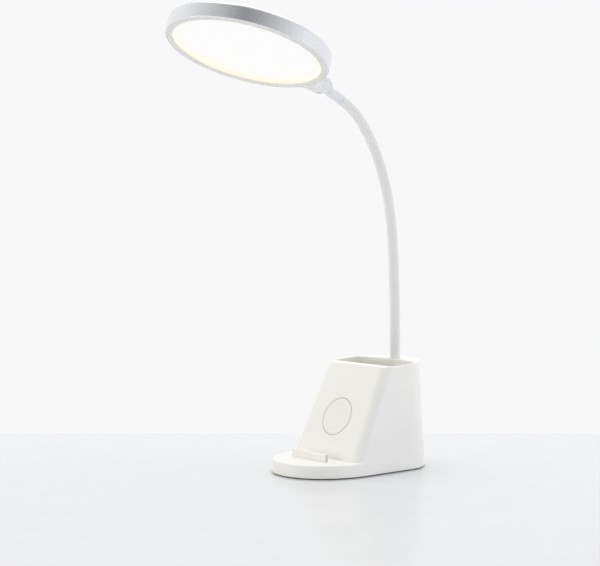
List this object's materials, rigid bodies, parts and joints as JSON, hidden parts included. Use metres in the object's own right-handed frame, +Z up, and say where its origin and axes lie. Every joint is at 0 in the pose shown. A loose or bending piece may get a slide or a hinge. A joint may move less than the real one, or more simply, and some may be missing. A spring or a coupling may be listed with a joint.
{
  "type": "desk lamp with organizer base",
  "caption": "Desk lamp with a round flat light panel on a bendable goose neck, and a sloped charging base with a phone ledge at the front and a pen cup at the back.",
  "frame": {"origin": "the middle of the face that the lamp stands on, on the underside of its mat", "axes": "+Z up, +Y from the phone ledge at the front towards the neck at the back, +X across the base"},
  "size_m": [0.1512, 0.275, 0.4257],
  "materials": {
    "body_plastic": "fine satin, warm white",
    "cover_plastic": "fine matt, light grey",
    "mat_rubber": "matt with a fine grain",
    "ballast_iron": "as cast",
    "screw_steel": "plain zinc",
    "mark_grey": "gloss, mid grey",
    "copper": "enamelled copper",
    "ferrite": "matt sheet",
    "board_green": "solder mask",
    "chip_black": "moulded",
    "inlet_steel": "drawn steel",
    "lead_rubber": "smooth jacket",
    "sleeve_rubber": "soft matt, warm white",
    "core_steel": "wound steel",
    "ferrule_white": "painted satin, warm white",
    "diffuser_white": "matt opal, lit",
    "guide_clear": "clear, polished",
    "led_yellow": "phosphor",
    "sheet_white": "matt film",
    "plate_aluminium": "rolled",
    "foam_grey": "open foam"
  },
  "bodies": {
    "base": {"base_shell": "body_plastic", "bottom_cover": "cover_plastic", "foot_mat": "mat_rubber", "ballast_plate": "ballast_iron", "cover_screws": "screw_steel", "phone_fence": "body_plastic", "mark_ring": "mark_grey", "mark_disc": "body_plastic", "touch_electrode": "copper", "charge_coil": "copper", "ferrite_sheet": "ferrite", "coil_carrier": "cover_plastic", "carrier_screws": "screw_steel", "main_board": "board_green", "board_parts": "chip_black", "board_screws": "screw_steel", "power_inlet": "inlet_steel", "lamp_lead": "lead_rubber", "neck_washer": "screw_steel", "neck_clip": "screw_steel", "neck_sleeve_0": "sleeve_rubber", "neck_core_0": "core_steel"},
    "neck_1": {"neck_sleeve_1": "sleeve_rubber", "neck_core_1": "core_steel"},
    "neck_2": {"neck_sleeve_2": "sleeve_rubber", "neck_core_2": "core_steel"},
    "neck_3": {"neck_sleeve_3": "sleeve_rubber", "neck_core_3": "core_steel"},
    "neck_4": {"neck_sleeve_4": "sleeve_rubber", "neck_core_4": "core_steel"},
    "neck_5": {"neck_sleeve_5": "sleeve_rubber", "neck_core_5": "core_steel"},
    "neck_6": {"neck_sleeve_6": "sleeve_rubber", "neck_core_6": "core_steel"},
    "neck_7": {"neck_sleeve_7": "sleeve_rubber", "neck_core_7": "core_steel"},
    "knuckle": {"neck_ferrule": "ferrule_white", "friction_washers": "chip_black"},
    "head": {"head_bracket": "body_plastic", "tilt_pin": "screw_steel", "pin_caps": "body_plastic", "bracket_screws": "screw_steel", "head_shell": "body_plastic", "bezel_ring": "body_plastic", "diffuser": "diffuser_white", "light_guide": "guide_clear", "led_strip": "board_green", "led_chips": "led_yellow", "reflector_sheet": "sheet_white", "heat_plate": "plate_aluminium", "plate_screws": "screw_steel", "foam_ring": "foam_grey"}
  },
  "joints": [
    {"name": "neck_bend_1", "type": "hinge", "parent": "base", "child": "neck_1", "pos_m": [0, 0.0604, 0.13579], "axis": [1, 0, 0], "range_deg": [-16, 12]},
    {"name": "neck_sway_1", "type": "hinge", "parent": "neck_1", "child": "neck_2", "pos_m": [0, 0.05951, 0.16978], "axis": [0, 0.9994, 0.0349], "range_deg": [-16, 16]},
    {"name": "neck_bend_2", "type": "hinge", "parent": "neck_2", "child": "neck_3", "pos_m": [0, 0.05788, 0.20374], "axis": [1, 0, 0], "range_deg": [-16, 12]},
    {"name": "neck_sway_2", "type": "hinge", "parent": "neck_3", "child": "neck_4", "pos_m": [0, 0.05448, 0.23756], "axis": [0, 0.9903, 0.1392], "range_deg": [-16, 16]},
    {"name": "neck_bend_3", "type": "hinge", "parent": "neck_4", "child": "neck_5", "pos_m": [0, 0.04713, 0.27072], "axis": [1, 0, 0], "range_deg": [-16, 12]},
    {"name": "neck_sway_3", "type": "hinge", "parent": "neck_5", "child": "neck_6", "pos_m": [0, 0.03454, 0.30226], "axis": [0, 0.8949, 0.4462], "range_deg": [-16, 16]},
    {"name": "neck_bend_4", "type": "hinge", "parent": "neck_6", "child": "neck_7", "pos_m": [0, 0.01582, 0.33054], "axis": [1, 0, 0], "range_deg": [-16, 12]},
    {"name": "head_turn", "type": "hinge", "parent": "neck_7", "child": "knuckle", "pos_m": [0, -0.01079, 0.35133], "axis": [0, -0.8949, 0.4462], "range_deg": [-30, 30]},
    {"name": "head_tilt", "type": "hinge", "parent": "knuckle", "child": "head", "pos_m": [0, -0.03317, 0.36249], "axis": [0.9986, 0.0234, 0.0468], "range_deg": [-60, 45]}
  ],
  "couplings": [
    {"joint": "neck_bend_2", "follows": "neck_bend_1", "ratio": 1},
    {"joint": "neck_bend_3", "follows": "neck_bend_1", "ratio": 1},
    {"joint": "neck_bend_4", "follows": "neck_bend_1", "ratio": 1},
    {"joint": "neck_sway_2", "follows": "neck_sway_1", "ratio": 1},
    {"joint": "neck_sway_3", "follows": "neck_sway_1", "ratio": 1}
  ]
}
